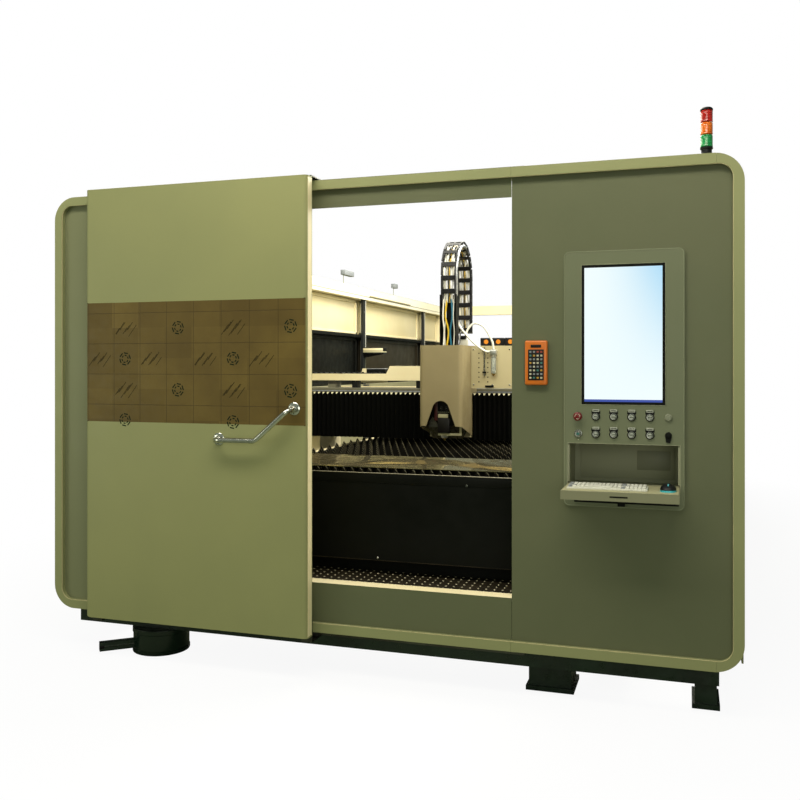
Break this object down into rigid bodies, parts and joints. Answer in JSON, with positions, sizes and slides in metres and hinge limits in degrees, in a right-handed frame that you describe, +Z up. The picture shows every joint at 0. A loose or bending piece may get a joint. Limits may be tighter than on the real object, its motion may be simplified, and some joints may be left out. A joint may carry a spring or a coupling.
{
  "type": "fiber laser cutting machine",
  "caption": "Enclosed gantry laser cutter for sheet metal with a sliding front door, side console, slat pallet, bellows-covered gantry and standing cable chain.",
  "frame": {"origin": "middle of the footprint on the floor", "axes": "+X to the right along the operator front, +Y from the front into the depth of the machine, +Z up"},
  "size_m": [3.54, 8.03, 2.67],
  "materials": {
    "painted_green": "olive grey-green powder coat",
    "door_green": "olive grey-green powder coat",
    "panel_grey": "darker grey-green powder coat",
    "dark_green": "dark green-black base paint",
    "cream": "cream powder coat",
    "wall_white": "white powder coat",
    "beige_cover": "beige fine-textured paint",
    "machine_black": "black paint",
    "raw_steel": "milled steel",
    "bright_steel": "polished stainless tube",
    "sheet_steel": "mirror-bright rolled sheet",
    "slat_steel": "dark scaled sheet steel",
    "film": "kraft-brown protective film over the pane",
    "bellows_cloth": "black coated cloth",
    "black_plastic": "black moulded plastic",
    "screen": "lit display",
    "hose": "white hose",
    "brass": "machined nozzle",
    "head_metal": "satin anodised",
    "filter_body": "cast head with clear bowl",
    "key_white": "pale keyboard",
    "remote_orange": "orange moulded case",
    "button_pale": "pale translucent cap",
    "stop_red": "red cap",
    "ring_silver": "satin chrome ring",
    "lens_green": "green lens",
    "lens_amber": "amber lens",
    "lens_red": "red lens"
  },
  "bodies": {
    "machine": {"base_frame": "dark_green", "levelling_feet": "dark_green", "front_border": "painted_green", "front_panel": "panel_grey", "right_panel": "panel_grey", "sill_ledge": "cream", "tread_plate": "raw_steel", "door_rails": "raw_steel", "side_wall_left": "wall_white", "side_wall_right": "wall_white", "wall_posts": "machine_black", "rear_portal": "cream", "bed_frame": "machine_black", "gantry_rails": "raw_steel", "pallet_rails": "raw_steel", "console_plate": "painted_green", "monitor_bezel": "machine_black", "monitor_screen": "screen", "niche_box": "painted_green", "panel_fittings": "ring_silver", "remote_control": "remote_orange", "stack_ends": "black_plastic", "stack_green": "lens_green", "stack_amber": "lens_amber", "stack_red": "lens_red"},
    "door": {"door_shell": "door_green", "door_window": "film", "door_handle": "bright_steel", "door_hangers": "raw_steel"},
    "drawer": {"keyboard_drawer": "painted_green", "keyboard": "key_white", "mouse": "black_plastic"},
    "gantry": {"gantry_beam": "raw_steel", "cable_trough": "cream", "x_chain": "black_plastic", "bellows_left": "bellows_cloth", "bellows_right": "bellows_cloth"},
    "carriage": {"carriage_plate": "cream", "head_cover": "beige_cover", "z_chain_bracket": "machine_black", "z_chain": "black_plastic", "gas_filter": "filter_body", "head_hoses": "hose"},
    "z_head": {"cutting_head": "head_metal", "nozzle": "brass"},
    "pallet": {"pallet_frame": "machine_black", "slats": "slat_steel", "metal_sheet": "sheet_steel"},
    "front_wheelset": {"wheelset_front": "raw_steel"},
    "rear_wheelset": {"wheelset_rear": "raw_steel"},
    "emergency_stop": {"stop_button": "stop_red"},
    "key": {"key_rotor": "ring_silver"},
    "push_1": {"button_1": "button_pale"},
    "push_2": {"button_2": "button_pale"},
    "push_3": {"button_3": "button_pale"},
    "push_4": {"button_4": "button_pale"},
    "push_5": {"button_5": "button_pale"},
    "push_6": {"button_6": "button_pale"},
    "push_7": {"button_7": "button_pale"},
    "push_8": {"button_8": "button_pale"}
  },
  "joints": [
    {"name": "door_slide", "type": "slide", "parent": "machine", "child": "door", "axis": [1, 0, 0], "range_m": [0, 1.03]},
    {"name": "drawer_slide", "type": "slide", "parent": "machine", "child": "drawer", "axis": [0, 1, 0], "range_m": [0, 0.22]},
    {"name": "gantry_travel", "type": "slide", "parent": "machine", "child": "gantry", "axis": [0, 1, 0], "range_m": [-1.25, 1.15]},
    {"name": "carriage_travel", "type": "slide", "parent": "gantry", "child": "carriage", "axis": [1, 0, 0], "range_m": [-0.75, 0.7], "deforming": ["bellows_left", "bellows_right", "x_chain"]},
    {"name": "head_lift", "type": "slide", "parent": "carriage", "child": "z_head", "axis": [0, 0, 1], "range_m": [-0.02, 0.1]},
    {"name": "pallet_travel", "type": "slide", "parent": "machine", "child": "pallet", "axis": [0, 1, 0], "range_m": [0, 3.5]},
    {"name": "front_wheels_roll", "type": "hinge", "parent": "pallet", "child": "front_wheelset", "pos_m": [0, -3.133, 0.7703], "axis": [1, 0, 0], "range_deg": [-4100, 10]},
    {"name": "rear_wheels_roll", "type": "hinge", "parent": "pallet", "child": "rear_wheelset", "pos_m": [0, -0.673, 0.7703], "axis": [1, 0, 0], "range_deg": [-4100, 10]},
    {"name": "stop_press", "type": "slide", "parent": "machine", "child": "emergency_stop", "axis": [0, 1, 0], "range_m": [0, 0.005], "stiffness_N_per_m": 400},
    {"name": "key_turn", "type": "hinge", "parent": "machine", "child": "key", "pos_m": [1.066, -3.779, 1.234], "axis": [0, 1, 0], "range_deg": [0, 90]},
    {"name": "button_1_press", "type": "slide", "parent": "machine", "child": "push_1", "axis": [0, 1, 0], "range_m": [0, 0.003], "stiffness_N_per_m": 300},
    {"name": "button_2_press", "type": "slide", "parent": "machine", "child": "push_2", "axis": [0, 1, 0], "range_m": [0, 0.003], "stiffness_N_per_m": 300},
    {"name": "button_3_press", "type": "slide", "parent": "machine", "child": "push_3", "axis": [0, 1, 0], "range_m": [0, 0.003], "stiffness_N_per_m": 300},
    {"name": "button_4_press", "type": "slide", "parent": "machine", "child": "push_4", "axis": [0, 1, 0], "range_m": [0, 0.003], "stiffness_N_per_m": 300},
    {"name": "button_5_press", "type": "slide", "parent": "machine", "child": "push_5", "axis": [0, 1, 0], "range_m": [0, 0.003], "stiffness_N_per_m": 300},
    {"name": "button_6_press", "type": "slide", "parent": "machine", "child": "push_6", "axis": [0, 1, 0], "range_m": [0, 0.003], "stiffness_N_per_m": 300},
    {"name": "button_7_press", "type": "slide", "parent": "machine", "child": "push_7", "axis": [0, 1, 0], "range_m": [0, 0.003], "stiffness_N_per_m": 300},
    {"name": "button_8_press", "type": "slide", "parent": "machine", "child": "push_8", "axis": [0, 1, 0], "range_m": [0, 0.003], "stiffness_N_per_m": 300}
  ],
  "couplings": [
    {"joint": "front_wheels_roll", "follows": "pallet_travel", "rad_per_m": -20},
    {"joint": "rear_wheels_roll", "follows": "pallet_travel", "rad_per_m": -20}
  ]
}
